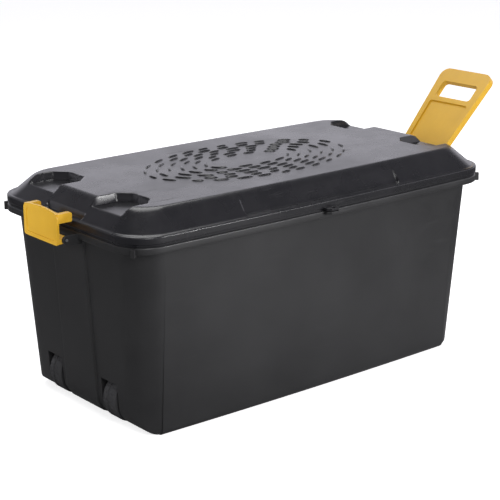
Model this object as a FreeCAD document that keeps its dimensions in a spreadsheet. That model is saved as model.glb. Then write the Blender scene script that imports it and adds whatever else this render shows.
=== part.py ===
import FreeCAD, Part
import math
import os
import Sketcher

# Wheeled deck storage box: a drafted plastic tub, a hinged lid, an end latch, a tow handle and two wheels.
# Millimetres. X runs along the length, with the wheels and latch at -X and the tow handle at +X. Y runs
# across the width, with the padlock tabs at -Y and the lid hinges at +Y. Z is up. The origin is the centre
# of the underside of the tub.

Vector = FreeCAD.Vector
doc = FreeCAD.newDocument("DeckBox")

# Driving dimensions: alias, value in millimetres (degrees where the name says so).
SIZES = [
    ("rim_length", 978), ("rim_width", 523), ("rim_corner", 72),
    ("side_bow", 7), ("end_bow", 4),
    ("wall", 3), ("floor", 3.5),
    ("rim_top", 410), ("rim_depth", 15), ("rim_overhang", 20), ("wall_draft_inset", 24),
    ("inner_lip", 7), ("base_round", 14), ("wheel_end_round", 60),
    ("body_gap", 0.3), ("pin_gap", 0.05),
    ("lid_skirt", 20), ("ledge_width", 8), ("lid_rise", 42), ("lid_slope_inset", 39),
    ("pocket_depth", 16), ("pocket_length", 98), ("pocket_width", 104), ("pocket_chamfer", 24),
    ("pocket_from_end", 70), ("pocket_from_centre", 66),
    ("scoop_half_length", 214), ("scoop_depth", 11), ("scoop_height", 34),
    ("panel_half_width", 58), ("panel_proud", 4),
    ("wheel_radius", 50), ("wheel_width", 44), ("wheel_offset", 101), ("wheel_lift", 6),
    ("wheel_setback", 85), ("wheel_clearance", 6), ("wheel_opening", 98), ("hub_radius", 13), ("rim_web", 6),
    ("axle_radius", 4), ("axle_head_radius", 8), ("axle_head", 3), ("push_nut_radius", 9),
    ("push_nut", 1.2),
    ("latch_half_width", 62), ("latch_pivot_out", 25), ("latch_pivot_drop", 13),
    ("latch_pin_radius", 3), ("latch_barrel_radius", 7), ("latch_plate", 5), ("latch_plate_out", 43),
    ("latch_plate_above", 59), ("latch_crown", 6), ("latch_plate_below", 10), ("latch_arm_width", 11),
    ("latch_arm_height", 19), ("latch_hook", 6), ("catch_length", 14), ("catch_thickness", 6),
    ("catch_gap", 1.2),
    ("cheek", 5), ("cheek_nose", 9),
    ("handle_half_width_low", 56), ("handle_half_width_mid", 69), ("handle_half_width_top", 80),
    ("handle_length", 257), ("handle_corner", 24), ("handle_thickness", 15),
    ("handle_neck", 18), ("handle_shoulder", 48),
    ("handle_pin_radius", 4), ("handle_barrel_radius", 8), ("handle_pivot_out", 26),
    ("handle_pivot_drop", 15), ("handle_lean_degrees", 44),
    ("grip_low", 174), ("grip_high", 220), ("grip_half_width", 56), ("grip_corner", 9),
    ("handle_panel_depth", 4), ("handle_border", 13),
    ("hinge_spacing", 600), ("hinge_pivot_out", 8.5), ("hinge_pivot_up", 8), ("hinge_pin_radius", 2.5),
    ("knuckle_radius", 6), ("knuckle_length", 18), ("lid_knuckle_length", 30),
    ("tab_half_width", 17), ("tab_reach", 16), ("tab_thickness", 6), ("padlock_eye_radius", 4.5),
    ("padlock_eye_inset", 7.5),
]


def make_sheet():
    """Spreadsheet with one named cell for each driving dimension."""
    sheet = doc.addObject("Spreadsheet::Sheet", "Sizes")
    for row, (alias, value) in enumerate(SIZES, start=1):
        sheet.set("A%d" % row, alias)
        sheet.set("B%d" % row, str(value))
        sheet.setAlias("B%d" % row, alias)
    doc.recompute()
    return sheet


sheet = make_sheet()

CORNER_SHARE = 0.27      # how much of an inset the corner radius loses
BEYOND = 6               # how far a cutting shape runs past what it cuts
CHEEK_ROOT = 4           # extra depth of a pin cheek inside the rim
HINGE_ROOT = 10          # how far a hinge lug runs in under or over the rim
SLOPE_GROWTH = 1.4       # level thickness of a sloping wall, as a multiple of its true thickness
SIDE_ROOM = 4            # free space beside the latch and the tow handle
HOLE_REACH = 100         # length of a drill that goes right through any lug
SCOOP_SILL = 1.5         # height of the finger scoop's foot above the ledge
CROWN_SHOULDER = 0.6     # share of the latch's half width at which its crown starts to fall
CROWN_TOP = 0.2          # share of the latch's half width that is level at the top
CROWN_FALL = 0.3         # share of the crown lost at its shoulder
PANEL_TAPER = 2          # how much less the sunk panel widens than the handle
CLEAR = 1                # small overrun that keeps a cut from ending on a face
DRILL_OVERRUN = 10       # how far a bore runs past both ends of its barrel
SCOOP_REACH = 24         # how far the finger scoop's cutting shape runs out in front
TYRE_CROWN = 3           # how much the tyre's shoulder is lower than its tread
TYRE_SHOULDER = 5        # width of the tyre's sloping shoulder


def size(alias):
    """Value of one cell of the sheet."""
    return float(sheet.get(alias))


def outline(inset, height):
    """Closed rounded rectangle whose four sides bow outwards, drawn the inset inside the rim's edge."""
    half_length = size("rim_length") / 2 - inset
    half_width = size("rim_width") / 2 - inset
    corner = size("rim_corner") - inset * CORNER_SHARE
    side_radius = (half_length ** 2 + size("side_bow") ** 2) / (2 * size("side_bow"))
    end_radius = (half_width ** 2 + size("end_bow") ** 2) / (2 * size("end_bow"))
    side_centre = Vector(0, half_width - side_radius, 0)
    end_centre = Vector(half_length - end_radius, 0, 0)
    corner_centre = circles_meet(side_centre, side_radius - corner, end_centre, end_radius - corner)
    on_side = side_centre + (corner_centre - side_centre).normalize() * side_radius
    on_end = end_centre + (corner_centre - end_centre).normalize() * end_radius
    middle = corner_centre + (on_side + on_end - corner_centre * 2).normalize() * corner

    def point(source, mirror_x, mirror_y):
        return Vector(source.x * mirror_x, source.y * mirror_y, height)

    edges = [
        arc(point(on_side, 1, 1), Vector(0, half_width, height), point(on_side, -1, 1)),
        arc(point(on_side, -1, 1), point(middle, -1, 1), point(on_end, -1, 1)),
        arc(point(on_end, -1, 1), Vector(-half_length, 0, height), point(on_end, -1, -1)),
        arc(point(on_end, -1, -1), point(middle, -1, -1), point(on_side, -1, -1)),
        arc(point(on_side, -1, -1), Vector(0, -half_width, height), point(on_side, 1, -1)),
        arc(point(on_side, 1, -1), point(middle, 1, -1), point(on_end, 1, -1)),
        arc(point(on_end, 1, -1), Vector(half_length, 0, height), point(on_end, 1, 1)),
        arc(point(on_end, 1, 1), point(middle, 1, 1), point(on_side, 1, 1)),
    ]
    return Part.Wire(edges)


def arc(start, middle, end):
    """Edge along the circle through three points."""
    return Part.Arc(start, middle, end).toShape()


def circles_meet(first, first_radius, second, second_radius):
    """Meeting point of two circles that lies in the quadrant where X and Y are positive."""
    across = second - first
    distance = across.Length
    along = (first_radius ** 2 - second_radius ** 2 + distance ** 2) / (2 * distance)
    aside = math.sqrt(first_radius ** 2 - along ** 2)
    forward = across.normalize()
    sideways = Vector(-forward.y, forward.x, 0)
    meetings = [first + forward * along + sideways * sign * aside for sign in (1, -1)]
    return max(meetings, key=lambda meeting: meeting.x + meeting.y)


def drafted(low_inset, low, high_inset, high):
    """Solid between two outlines at two heights, with straight sloping walls."""
    return Part.makeLoft([outline(low_inset, low), outline(high_inset, high)], True, True)


def upright(inset, low, high):
    """Solid with vertical walls between two heights."""
    face = Part.Face(outline(inset, low))
    return face.extrude(Vector(0, 0, high - low))


def block(low_corner, high_corner):
    """Box between two opposite corners."""
    low = Vector(*low_corner)
    high = Vector(*high_corner)
    return Part.makeBox(high.x - low.x, high.y - low.y, high.z - low.z, low)


def prism(points, direction):
    """Polygon through the points, pushed along the direction."""
    face = Part.Face(Part.makePolygon([Vector(*point) for point in points + points[:1]]))
    return face.extrude(Vector(*direction))


def rod(radius, centre, axis, length):
    """Cylinder whose middle is at the centre."""
    direction = Vector(*axis)
    start = Vector(*centre) - direction * (length / 2)
    return Part.makeCylinder(radius, length, start, direction)


def mirrored(shape, normal):
    """Copy of the shape on the other side of the centre plane with the given normal."""
    return shape.mirror(Vector(0, 0, 0), Vector(*normal))


def in_four_corners(shape):
    """The shape and its copies in the other three corners."""
    pair = [shape, mirrored(shape, (1, 0, 0))]
    return pair + [mirrored(one, (0, 1, 0)) for one in pair]


def rim_inset_at(height):
    """How far inside the rim's edge the tub's outer wall lies at a height."""
    wall_top = size("rim_top") - size("rim_depth")
    return size("rim_overhang") + size("wall_draft_inset") * (1 - height / wall_top)


def latch_pivot():
    """Axis of the latch pin, as X and Z."""
    across = -size("rim_length") / 2 - size("latch_pivot_out")
    return across, size("rim_top") - size("latch_pivot_drop")


def handle_pivot():
    """Axis of the tow handle's pin, as X and Z."""
    across = size("rim_length") / 2 + size("handle_pivot_out")
    return across, size("rim_top") - size("handle_pivot_drop")


def hinge_axis():
    """Axis of the lid hinges, as Y and Z."""
    return size("rim_width") / 2 + size("hinge_pivot_out"), size("rim_top") + size("hinge_pivot_up")


def axle_axis():
    """Axis of the wheels, as X and Z."""
    return -size("rim_length") / 2 + size("wheel_setback"), size("wheel_lift") + size("wheel_radius")


def pivot_cheeks(pivot, half_gap, pin_radius, towards_box):
    """Pair of cheeks that carry a pin outside one end of the rim."""
    across, height = pivot
    nose = size("cheek_nose")
    root = across + towards_box * (nose + size("rim_overhang") + size("wall") + CHEEK_ROOT)
    cheeks = []
    for side in (-1, 1):
        middle = side * (half_gap + size("body_gap") + size("cheek") / 2)
        low_y = middle - size("cheek") / 2
        plate = [
            (across, low_y, height + nose),
            (root, low_y, height + nose),
            (root, low_y, height - nose - CHEEK_ROOT),
            (across, low_y, height - nose),
        ]
        cheek = prism(plate, (0, size("cheek"), 0))
        cheek = cheek.fuse(rod(nose, (across, middle, height), (0, 1, 0), size("cheek")))
        cheeks.append(cheek)
    hole = rod(pin_radius + size("pin_gap"), (across, 0, height), (0, 1, 0), 4 * half_gap)
    return [cheek.cut(hole) for cheek in cheeks]


def wheel_housing(side, growth):
    """Space round one wheel, open to the end and downwards, made larger all round by the growth."""
    across, height = axle_axis()
    radius = size("wheel_radius") + size("wheel_clearance") + growth
    half_width = size("wheel_width") / 2 + size("wheel_clearance") + growth
    middle = side * size("wheel_offset")
    low_y = middle - half_width
    high_y = middle + half_width
    outside = -size("rim_length") / 2
    arch = rod(radius, (across, middle, height), (0, 1, 0), 2 * half_width)
    opening = size("wheel_opening") + growth
    front = block((outside, low_y, -BEYOND), (across, high_y, opening))
    below = block((across, low_y, -BEYOND), (across + radius, high_y, height))
    return arch.fuse([front, below])


def wheel_end_trim(radius):
    """What is taken off the tub's lower edge at the wheel end to round it to a radius."""
    centre_height = size("wheel_end_round")
    centre = -size("rim_length") / 2 + rim_inset_at(centre_height) + size("wheel_end_round")
    width = size("rim_width")
    corner = block((centre - 2 * width, -width, -2 * BEYOND), (centre, width, centre_height))
    return corner.cut(rod(radius, (centre, 0, centre_height), (0, 1, 0), 3 * width))


def tub_hinge_lugs():
    """Pairs of knuckles on the rear rim, one pair for each lid hinge."""
    axis_y, axis_z = hinge_axis()
    radius = size("knuckle_radius")
    rim_edge = size("rim_width") / 2
    low = size("rim_top") - size("rim_depth")
    reach = size("lid_knuckle_length") / 2 + size("body_gap")
    lugs = []
    for hinge in (-1, 1):
        for side in (-1, 1):
            middle = hinge * size("hinge_spacing") / 2 + side * (reach + size("knuckle_length") / 2)
            start = middle - size("knuckle_length") / 2
            section = [
                (start, rim_edge - HINGE_ROOT, low),
                (start, rim_edge - HINGE_ROOT, size("rim_top")),
                (start, rim_edge - size("body_gap"), size("rim_top")),
                (start, axis_y - radius, axis_z),
                (start, axis_y + radius, axis_z),
                (start, rim_edge, low),
            ]
            lug = prism(section, (size("knuckle_length"), 0, 0))
            lug = lug.fuse(rod(radius, (middle, axis_y, axis_z), (1, 0, 0), size("knuckle_length")))
            bore = size("hinge_pin_radius") + size("pin_gap")
            hole = rod(bore, (middle, axis_y, axis_z), (1, 0, 0), HOLE_REACH)
            lugs.append(lug.cut(hole))
    return lugs


def padlock_tab(low):
    """Flat tab at the front centre with an upright eye for a padlock."""
    root = -size("rim_width") / 2 + size("wall")
    tip = -size("rim_width") / 2 - size("tab_reach")
    half = size("tab_half_width")
    trim = size("tab_reach") / 2
    plan = [
        (-half, root, low), (-half, tip + trim, low), (trim - half, tip, low),
        (half - trim, tip, low), (half, tip + trim, low), (half, root, low),
    ]
    tab = prism(plan, (0, 0, size("tab_thickness")))
    eye = (0, tip + size("padlock_eye_inset"), low)
    return tab.cut(rod(size("padlock_eye_radius"), eye, (0, 0, 1), 4 * size("tab_thickness")))


def tub_shape():
    """Drafted tub with a turned-down rim, wheel housings, pin cheeks, hinge lugs and a padlock tab."""
    wall = size("wall")
    rim_top = size("rim_top")
    rim_low = rim_top - size("rim_depth")
    lip_top = rim_top + size("inner_lip")
    outside = drafted(rim_inset_at(0), 0, rim_inset_at(lip_top), lip_top)
    outside = outside.makeFillet(size("base_round"), edges_at_height(outside, 0))
    outside = outside.cut(wheel_end_trim(size("wheel_end_round")))
    proud = size("panel_proud")
    panel = drafted(rim_inset_at(0) - proud, 0, rim_inset_at(rim_low) - proud, rim_low)
    panel = panel.common(block((-size("rim_length"), -size("panel_half_width"), proud),
                               (-size("rim_length") / 4, size("panel_half_width"), rim_low)))
    panel = panel.cut(wheel_end_trim(size("wheel_end_round") + proud))
    rim = upright(0, rim_low, rim_top).cut(upright(wall, rim_low - BEYOND, rim_top - wall))
    housings = [wheel_housing(side, 0) for side in (-1, 1)]
    body = outside.fuse([panel, rim]).cut(housings)
    cavity = drafted(rim_inset_at(size("floor")) + wall, size("floor"),
                     rim_inset_at(lip_top + BEYOND) + wall, lip_top + BEYOND)
    cavity = cavity.cut(wheel_end_trim(size("wheel_end_round") - wall))
    cavity = cavity.cut([wheel_housing(side, wall) for side in (-1, 1)])
    body = body.cut(cavity)
    cheeks = pivot_cheeks(latch_pivot(), size("latch_half_width"), size("latch_pin_radius"), 1)
    cheeks += pivot_cheeks(handle_pivot(), size("handle_half_width_low"), size("handle_pin_radius"), -1)
    tab = padlock_tab(rim_top - size("tab_thickness") - 2 * size("body_gap"))
    body = body.fuse(cheeks + tub_hinge_lugs() + [tab]).cut(cavity)
    across, height = axle_axis()
    axle_hole = rod(size("axle_radius") + size("pin_gap"), (across, 0, height), (0, 1, 0),
                    2 * (size("wheel_offset") + size("wheel_width") + size("wheel_clearance")))
    return body.cut(axle_hole)


def edges_at_height(shape, height):
    """Edges that lie flat at a height."""
    return [edge for edge in shape.Edges
            if abs(edge.BoundBox.ZMin - height) < 0.01 and abs(edge.BoundBox.ZMax - height) < 0.01]


def corner_pocket(growth):
    """Shallow pocket in the deck near one corner, open to the end slope."""
    deck_end = size("rim_length") / 2 - size("ledge_width") - size("lid_slope_inset")
    deck_top = size("rim_top") + size("body_gap") + size("lid_skirt") + size("lid_rise")
    inner = deck_end - size("pocket_from_end") - growth
    outer = inner + size("pocket_length") + 2 * growth
    near = size("pocket_from_centre") - growth
    far = near + size("pocket_width") + 2 * growth
    trim = size("pocket_chamfer")
    low = deck_top - size("pocket_depth") - growth
    plan = [
        (outer, near, low), (inner + trim, near, low), (inner, near + trim, low),
        (inner, far - trim, low), (inner + trim, far, low), (outer, far, low),
    ]
    return prism(plan, (0, 0, size("pocket_depth") + size("lid_rise")))


def front_scoop(growth):
    """Scooped panel in the lid's front slope that gives fingers a hold above the padlock tab."""
    ledge = size("rim_top") + size("body_gap") + size("lid_skirt")
    slope_foot = -size("rim_width") / 2 + size("ledge_width")
    top = ledge + size("scoop_height")
    lean = size("lid_slope_inset") * size("scoop_height") / size("lid_rise")
    half = size("scoop_half_length") + growth
    inner = growth * SLOPE_GROWTH
    section = [
        (-half, slope_foot - SCOOP_REACH, ledge + SCOOP_SILL - growth),
        (-half, slope_foot + size("scoop_depth") + inner, ledge + SCOOP_SILL - growth),
        (-half, slope_foot + lean + inner, top),
        (-half, slope_foot + lean + inner, top + growth),
        (-half, slope_foot - SCOOP_REACH, top + growth),
    ]
    return prism(section, (2 * half, 0, 0))


def end_recess(half_width, direction, growth):
    """Flat-backed recess in an end slope that clears the latch or the tow handle."""
    ledge = size("rim_top") + size("body_gap") + size("lid_skirt")
    back = size("rim_length") / 2 - size("ledge_width") - size("scoop_depth") - growth
    low = (back, -half_width - growth, ledge - growth)
    high = (back + size("rim_overhang") + size("scoop_depth"), half_width + growth, ledge + size("lid_rise"))
    recess = block(low, high)
    return recess if direction > 0 else mirrored(recess, (1, 0, 0))


def lid_hinge_lugs():
    """Knuckles on the rear of the lid that sit between the tub's knuckles."""
    axis_y, axis_z = hinge_axis()
    radius = size("knuckle_radius")
    rim_edge = size("rim_width") / 2
    low = size("rim_top") + 4 * size("body_gap")
    lugs = []
    for hinge in (-1, 1):
        middle = hinge * size("hinge_spacing") / 2
        start = middle - size("lid_knuckle_length") / 2
        section = [
            (start, rim_edge - HINGE_ROOT, low),
            (start, rim_edge - HINGE_ROOT, axis_z + radius),
            (start, axis_y, axis_z + radius),
            (start, axis_y - radius, axis_z),
            (start, rim_edge, low),
        ]
        lug = prism(section, (size("lid_knuckle_length"), 0, 0))
        lug = lug.fuse(rod(radius, (middle, axis_y, axis_z), (1, 0, 0), size("lid_knuckle_length")))
        bore = size("hinge_pin_radius") + size("pin_gap")
        hole = rod(bore, (middle, axis_y, axis_z), (1, 0, 0), HOLE_REACH)
        lugs.append(lug.cut(hole))
    return lugs


def lid_shape():
    """Hollow lid: skirt over the rim, ledge, sloping sides and a flat deck with pockets and scoops."""
    wall = size("wall")
    low = size("rim_top") + size("body_gap")
    ledge = low + size("lid_skirt")
    top = ledge + size("lid_rise")
    foot_inset = size("ledge_width")
    deck_inset = foot_inset + size("lid_slope_inset")
    outside = upright(0, low, ledge).fuse(drafted(foot_inset, ledge, deck_inset, top))
    shrink = wall * SLOPE_GROWTH
    drop = size("lid_slope_inset") / size("lid_rise") * wall
    inside = upright(wall, low - BEYOND, ledge - wall)
    inner_foot = foot_inset + shrink - drop
    inner_deck = deck_inset + shrink - drop
    inside = inside.fuse(drafted(inner_foot, ledge - wall, inner_deck, top - wall))
    recesses = in_four_corners(corner_pocket(0))
    grown = in_four_corners(corner_pocket(wall))
    recesses.append(front_scoop(0))
    grown.append(front_scoop(wall))
    latch_room = size("latch_half_width") + SIDE_ROOM
    handle_room = size("handle_half_width_mid") + SIDE_ROOM
    recesses += [end_recess(latch_room, -1, 0), end_recess(handle_room, 1, 0)]
    grown += [end_recess(latch_room, -1, wall), end_recess(handle_room, 1, wall)]
    shell = outside.cut(recesses).cut(inside.cut(grown))
    catch_root = -size("rim_length") / 2 + wall
    catch_tip = -size("rim_length") / 2 - size("catch_length")
    catch_half = size("latch_half_width") - size("latch_arm_width")
    catch = block((catch_tip, -catch_half, ledge - size("catch_thickness")), (catch_root, catch_half, ledge))
    tab = padlock_tab(low + size("body_gap"))
    return shell.fuse([catch, tab] + lid_hinge_lugs()).removeSplitter()


def add_shape(label, shape):
    """Document object that holds a shape made from the sheet's values."""
    feature = doc.addObject("Part::Feature", label)
    feature.Label = label
    feature.Shape = shape
    feature.Placement = FreeCAD.Placement()
    return feature


def new_body(label):
    """Empty body with a label of its own."""
    body = doc.addObject("PartDesign::Body", label)
    body.Label = label
    return body


def new_sketch(body, name, plane, offset="0"):
    """Sketch on one of the body's own planes, moved along the plane's normal by the offset."""
    sketch = body.newObject("Sketcher::SketchObject", name)
    support = [feature for feature in body.Origin.OriginFeatures if feature.Role == plane][0]
    sketch.AttachmentSupport = [(support, "")]
    sketch.MapMode = "FlatFace"
    sketch.setExpression("AttachmentOffset.Base.z", offset)
    return sketch


def draw_polygon(sketch, corners):
    """Closed polygon whose corners are pairs of expressions over the sheet's cells."""
    points = [Vector(float(sheet.evalExpression(across)), float(sheet.evalExpression(up)), 0)
              for across, up in corners]
    first = sketch.GeometryCount
    count = len(points)
    for index, point in enumerate(points):
        sketch.addGeometry(Part.LineSegment(point, points[(index + 1) % count]))
    for index in range(count):
        following = first + (index + 1) % count
        sketch.addConstraint(Sketcher.Constraint("Coincident", first + index, 2, following, 1))
    for index, (across, up) in enumerate(corners):
        point = points[index]
        for kind, expression, value in (("DistanceX", across, point.x), ("DistanceY", up, point.y)):
            constraint = sketch.addConstraint(Sketcher.Constraint(kind, -1, 1, first + index, 1, value))
            sketch.setExpression("Constraints[%d]" % constraint, expression)


def draw_circle(sketch, radius):
    """Circle about the sketch's own origin."""
    value = float(sheet.evalExpression(radius))
    circle = sketch.addGeometry(Part.Circle(Vector(0, 0, 0), Vector(0, 0, 1), value))
    sketch.addConstraint(Sketcher.Constraint("Coincident", circle, 3, -1, 1))
    constraint = sketch.addConstraint(Sketcher.Constraint("Radius", circle, value))
    sketch.setExpression("Constraints[%d]" % constraint, radius)


def pad(body, sketch, name, length):
    """Pad to both sides of the sketch."""
    feature = body.newObject("PartDesign::Pad", name)
    feature.Profile = sketch
    feature.Midplane = True
    feature.setExpression("Length", length)
    doc.recompute()
    return feature


def pocket(body, sketch, name, length):
    """Pocket to both sides of the sketch."""
    before = body.Shape.Volume
    feature = body.newObject("PartDesign::Pocket", name)
    feature.Profile = sketch
    feature.Midplane = True
    feature.setExpression("Length", length)
    doc.recompute()
    if body.Shape.Volume > before - CLEAR:
        raise RuntimeError("%s cuts nothing" % name)
    return feature


def round_edges(body, name, radius, chosen):
    """Fillet on the edges of the body's last feature that the test picks."""
    names = ["Edge%d" % (index + 1) for index, edge in enumerate(body.Shape.Edges) if chosen(edge)]
    if not names:
        raise RuntimeError("%s finds no edge" % name)
    feature = body.newObject("PartDesign::Fillet", name)
    feature.Base = (body.Tip if body.Tip != feature else body.Group[-2], names)
    feature.setExpression("Radius", radius)
    doc.recompute()
    return feature


def runs_along(edge, axis):
    """True where a straight edge is parallel to one axis, 0, 1 or 2."""
    if len(edge.Vertexes) != 2 or not isinstance(edge.Curve, Part.Line):
        return False
    return abs(abs(edge.Curve.Direction[axis]) - 1) < 1e-6


def make_latch():
    """Broad end latch: arched grip plate, web to its pin barrel, two side arms and a hook bar."""
    body = new_body("latch")
    out = "-(Sizes.latch_plate_out - Sizes.latch_pivot_out)"
    plate_inside = "(%s + Sizes.latch_plate)" % out
    width = "2 * Sizes.latch_half_width"
    catch_top = "(Sizes.latch_pivot_drop + Sizes.body_gap + Sizes.lid_skirt + Sizes.catch_gap)"
    arm_top = "(%s + Sizes.latch_arm_height)" % catch_top
    hook_tip = "(Sizes.latch_pivot_out - Sizes.catch_length + Sizes.latch_hook)"
    half = "Sizes.latch_half_width"
    top = "Sizes.latch_plate_above"
    corner_height = "(Sizes.latch_plate_above - Sizes.latch_crown)"
    shoulder = "(Sizes.latch_half_width * %g)" % CROWN_SHOULDER
    shoulder_height = "(Sizes.latch_plate_above - Sizes.latch_crown * %g)" % CROWN_FALL
    level = "(Sizes.latch_half_width * %g)" % CROWN_TOP
    plate = new_sketch(body, "LatchPlateSketch", "YZ_Plane", "%s + Sizes.latch_plate / 2" % out)
    draw_polygon(plate, [
        ("-" + half, "-Sizes.latch_plate_below"), (half, "-Sizes.latch_plate_below"),
        (half, corner_height), (shoulder, shoulder_height), (level, top),
        ("-" + level, top), ("-" + shoulder, shoulder_height), ("-" + half, corner_height),
    ])
    pad(body, plate, "LatchPlate", "Sizes.latch_plate")
    web = new_sketch(body, "LatchWebSketch", "XZ_Plane")
    draw_polygon(web, [
        (out, "-Sizes.latch_barrel_radius"), ("0", "-Sizes.latch_barrel_radius"),
        ("0", "0"), (out, "0"),
    ])
    pad(body, web, "LatchWeb", width)
    barrel = new_sketch(body, "LatchBarrelSketch", "XZ_Plane")
    draw_circle(barrel, "Sizes.latch_barrel_radius")
    pad(body, barrel, "LatchBarrel", width)
    hook = new_sketch(body, "LatchHookSketch", "XZ_Plane")
    draw_polygon(hook, [
        (out, catch_top), (hook_tip, catch_top), (hook_tip, arm_top),
        (plate_inside, arm_top), (out, arm_top),
    ])
    pad(body, hook, "LatchArms", width)
    window_low = "(%s - %g)" % (catch_top, CLEAR)
    window_end = "(%s + %g)" % (hook_tip, CLEAR)
    window = new_sketch(body, "LatchWindowSketch", "XZ_Plane")
    draw_polygon(window, [
        (plate_inside, window_low), (hook_tip + " - Sizes.latch_hook", window_low),
        (hook_tip + " - Sizes.latch_hook", catch_top + " + Sizes.latch_hook"),
        (window_end, catch_top + " + Sizes.latch_hook"),
        (window_end, arm_top + " + Sizes.latch_crown"),
        (plate_inside, arm_top + " + Sizes.latch_crown"),
    ])
    pocket(body, window, "LatchWindow", width + " - 2 * Sizes.latch_arm_width")
    bore = new_sketch(body, "LatchBoreSketch", "XZ_Plane")
    draw_circle(bore, "Sizes.latch_pin_radius + Sizes.pin_gap")
    pocket(body, bore, "LatchBore", "%s + %g" % (width, DRILL_OVERRUN))
    body.setExpression("Placement.Base.x", "-Sizes.rim_length / 2 - Sizes.latch_pivot_out")
    body.setExpression("Placement.Base.z", "Sizes.rim_top - Sizes.latch_pivot_drop")
    return body


def at_grip_corner(edge):
    """True for the edges through the tow handle's thickness at the corners of its grip."""
    middle = edge.CenterOfMass
    beside = abs(abs(middle.y) - size("grip_half_width")) < CLEAR
    level = size("grip_low") - CLEAR < middle.z < size("grip_high") + CLEAR
    return runs_along(edge, 0) and beside and level


def make_tow_handle():
    """Flat tow handle that widens to a rounded grip, drawn upright about its pin and then leaned out."""
    body = new_body("tow_handle")
    low = "Sizes.handle_half_width_low"
    mid = "Sizes.handle_half_width_mid"
    top = "Sizes.handle_half_width_top"
    blade = new_sketch(body, "HandleBladeSketch", "YZ_Plane")
    draw_polygon(blade, [
        ("-" + low, "0"), (low, "0"), (low, "Sizes.handle_neck"), (mid, "Sizes.handle_shoulder"),
        (top, "Sizes.handle_length - Sizes.handle_corner"), (top, "Sizes.handle_length"),
        ("-" + top, "Sizes.handle_length"), ("-" + top, "Sizes.handle_length - Sizes.handle_corner"),
        ("-" + mid, "Sizes.handle_shoulder"), ("-" + low, "Sizes.handle_neck"),
    ])
    pad(body, blade, "HandleBlade", "Sizes.handle_thickness")
    round_edges(body, "HandleCorners", "Sizes.handle_corner - %g" % CLEAR,
                lambda edge: runs_along(edge, 0) and edge.CenterOfMass.z > size("handle_length") - CLEAR)
    barrel = new_sketch(body, "HandleBarrelSketch", "XZ_Plane")
    draw_circle(barrel, "Sizes.handle_barrel_radius")
    pad(body, barrel, "HandleBarrel", "2 * " + low)
    grip = new_sketch(body, "HandleGripSketch", "YZ_Plane")
    draw_polygon(grip, [
        ("-Sizes.grip_half_width", "Sizes.grip_low"), ("Sizes.grip_half_width", "Sizes.grip_low"),
        ("Sizes.grip_half_width", "Sizes.grip_high"), ("-Sizes.grip_half_width", "Sizes.grip_high"),
    ])
    pocket(body, grip, "HandleGrip", "2 * Sizes.handle_thickness")
    round_edges(body, "HandleGripCorners", "Sizes.grip_corner", at_grip_corner)
    panel_side = "(Sizes.handle_half_width_mid - Sizes.handle_border / 2 - %g)" % PANEL_TAPER
    panel = new_sketch(body, "HandlePanelSketch", "YZ_Plane", "-Sizes.handle_thickness / 2")
    draw_polygon(panel, [
        ("-%s + Sizes.handle_border" % mid, "Sizes.handle_shoulder + Sizes.handle_border / 2"),
        ("%s - Sizes.handle_border" % mid, "Sizes.handle_shoulder + Sizes.handle_border / 2"),
        (panel_side, "Sizes.grip_low - Sizes.handle_border"),
        ("-" + panel_side, "Sizes.grip_low - Sizes.handle_border"),
    ])
    pocket(body, panel, "HandlePanel", "2 * Sizes.handle_panel_depth")
    bore = new_sketch(body, "HandleBoreSketch", "XZ_Plane")
    draw_circle(bore, "Sizes.handle_pin_radius + Sizes.pin_gap")
    pocket(body, bore, "HandleBore", "2 * %s + %g" % (low, DRILL_OVERRUN))
    body.Placement = FreeCAD.Placement(Vector(0, 0, 0), FreeCAD.Rotation(Vector(0, 1, 0), 1))
    body.setExpression("Placement.Rotation.Angle", "Sizes.handle_lean_degrees")
    body.setExpression("Placement.Base.x", "Sizes.rim_length / 2 + Sizes.handle_pivot_out")
    body.setExpression("Placement.Base.z", "Sizes.rim_top - Sizes.handle_pivot_drop")
    return body


def make_wheel(label, side):
    """Moulded wheel: a turned tread ring, web and hub with an axle bore."""
    body = new_body(label)
    section = new_sketch(body, label + "_section", "XY_Plane")
    bore = "Sizes.axle_radius + Sizes.pin_gap"
    hub = "Sizes.wheel_width / 2 + Sizes.wheel_clearance - %g" % CLEAR
    web = "Sizes.rim_web / 2"
    ring = "Sizes.wheel_radius - 2 * Sizes.rim_web"
    half = "Sizes.wheel_width / 2"
    crown = "Sizes.wheel_radius - %g" % TYRE_CROWN
    right = [
        (bore, hub), ("Sizes.hub_radius", hub), ("Sizes.hub_radius", web), (ring, web), (ring, half),
        (crown, half), ("Sizes.wheel_radius", "%s - %g" % (half, TYRE_SHOULDER)),
    ]
    left = [(across, "-(%s)" % up) for across, up in reversed(right)]
    draw_polygon(section, right + left)
    turn = body.newObject("PartDesign::Revolution", label + "_turned")
    turn.Profile = section
    turn.ReferenceAxis = (section, ["V_Axis"])
    turn.Angle = 360
    doc.recompute()
    body.setExpression("Placement.Base.x", "-Sizes.rim_length / 2 + Sizes.wheel_setback")
    body.setExpression("Placement.Base.y", "%d * Sizes.wheel_offset" % side)
    body.setExpression("Placement.Base.z", "Sizes.wheel_lift + Sizes.wheel_radius")
    return body


def make_cylinder(name, radius, length, place, turned_about):
    """Cylinder with its size and start bound to the sheet, its axis turned a quarter from upright."""
    cylinder = doc.addObject("Part::Cylinder", name)
    cylinder.Label = name
    cylinder.Placement = FreeCAD.Placement(Vector(0, 0, 0), FreeCAD.Rotation(Vector(*turned_about), 90))
    cylinder.setExpression("Radius", radius)
    cylinder.setExpression("Height", length)
    for axis, expression in zip("xyz", place):
        cylinder.setExpression("Placement.Base." + axis, expression)
    return cylinder


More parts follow.
